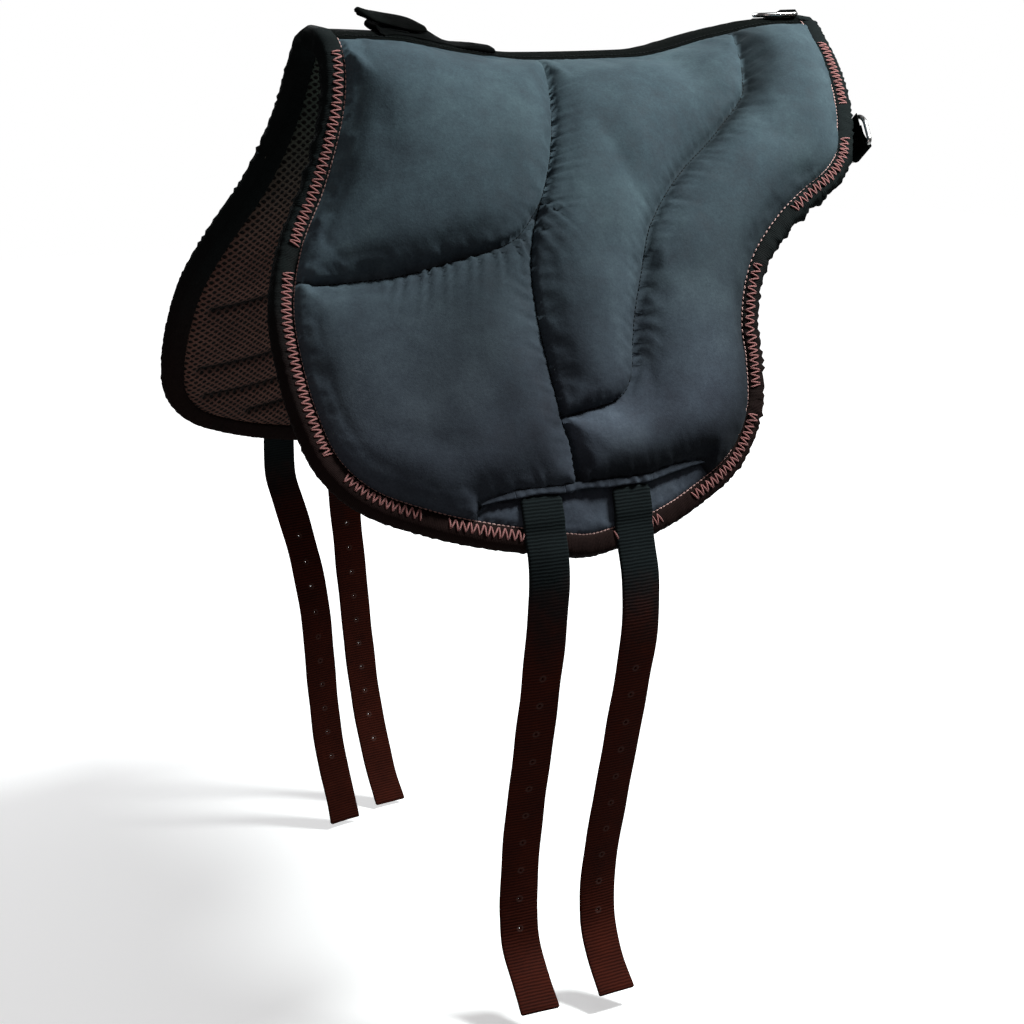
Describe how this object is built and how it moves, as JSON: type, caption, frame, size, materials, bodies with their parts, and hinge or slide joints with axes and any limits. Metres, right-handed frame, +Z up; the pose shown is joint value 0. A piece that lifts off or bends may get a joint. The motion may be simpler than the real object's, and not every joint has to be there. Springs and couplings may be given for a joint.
{
  "type": "bareback pad",
  "caption": "Quilted suede bareback pad with a mesh lining, bound edge, grab strap, punched girth billets and rings.",
  "frame": {"origin": "underside of the lining on the spine line, at the lowest part of the seat", "axes": "+X along the spine towards the horse's tail, -Y to the horse's left (near) side, +Z up"},
  "size_m": [0.6551, 0.5839, 0.9114],
  "materials": {
    "cover": "napped synthetic suede, slate blue",
    "filling": "fibre filling",
    "core": "closed foam sheet",
    "lining": "spacer mesh",
    "binding": "folded woven tape",
    "webbing": "ribbed nylon webbing",
    "ring": "bright nickel plate"
  },
  "bodies": {
    "pad": {"cover_near": "cover", "core_near": "core", "lining_near": "lining", "binding_near": "binding", "tab_near": "webbing", "filling_front_upper_near": "filling", "filling_front_lower_near": "filling", "filling_centre_near": "filling", "filling_rear_near": "filling", "filling_lower_strip_near": "filling", "cover_far": "cover", "core_far": "core", "lining_far": "lining", "binding_far": "binding", "tab_far": "webbing", "filling_front_upper_far": "filling", "filling_front_lower_far": "filling", "filling_centre_far": "filling", "filling_rear_far": "filling", "filling_lower_strip_far": "filling", "spine_tape": "webbing", "spine_core": "core", "spine_lining": "lining", "tab_spine": "webbing", "grab_strap": "webbing", "grab_tongue": "cover"},
    "billet_near_front": {"billet_near_front": "webbing"},
    "billet_near_rear": {"billet_near_rear": "webbing"},
    "billet_far_front": {"billet_far_front": "webbing"},
    "billet_far_rear": {"billet_far_rear": "webbing"},
    "ring_near": {"ring_near": "ring"},
    "ring_far": {"ring_far": "ring"},
    "ring_spine": {"ring_spine": "ring"}
  },
  "joints": [
    {"name": "billet_near_front_hinge", "type": "hinge", "parent": "pad", "child": "billet_near_front", "pos_m": [-0.11624, -0.25532, -0.34742], "axis": [-0.9937, 0.1122, 0], "range_deg": [0, 100]},
    {"name": "billet_near_rear_hinge", "type": "hinge", "parent": "pad", "child": "billet_near_rear", "pos_m": [-0.02961, -0.26077, -0.34717], "axis": [-0.9998, 0.0197, 0], "range_deg": [0, 100]},
    {"name": "billet_far_front_hinge", "type": "hinge", "parent": "pad", "child": "billet_far_front", "pos_m": [-0.13955, 0.25255, -0.34883], "axis": [0.9905, 0.1375, 0], "range_deg": [0, 100]},
    {"name": "billet_far_rear_hinge", "type": "hinge", "parent": "pad", "child": "billet_far_rear", "pos_m": [-0.06602, 0.25943, -0.34697], "axis": [0.9986, 0.0522, 0], "range_deg": [0, 100]},
    {"name": "ring_near_hinge", "type": "hinge", "parent": "pad", "child": "ring_near", "pos_m": [0.29422, -0.16163, -0.07728], "axis": [0.0383, 0.7738, -0.6323], "range_deg": [0, 170]},
    {"name": "ring_far_hinge", "type": "hinge", "parent": "pad", "child": "ring_far", "pos_m": [0.29422, 0.16163, -0.07728], "axis": [-0.0383, 0.7738, 0.6323], "range_deg": [0, 170]},
    {"name": "ring_spine_hinge", "type": "hinge", "parent": "pad", "child": "ring_spine", "pos_m": [0.32423, 0, 0.05241], "axis": [0, 1, 0], "range_deg": [0, 170]}
  ]
}
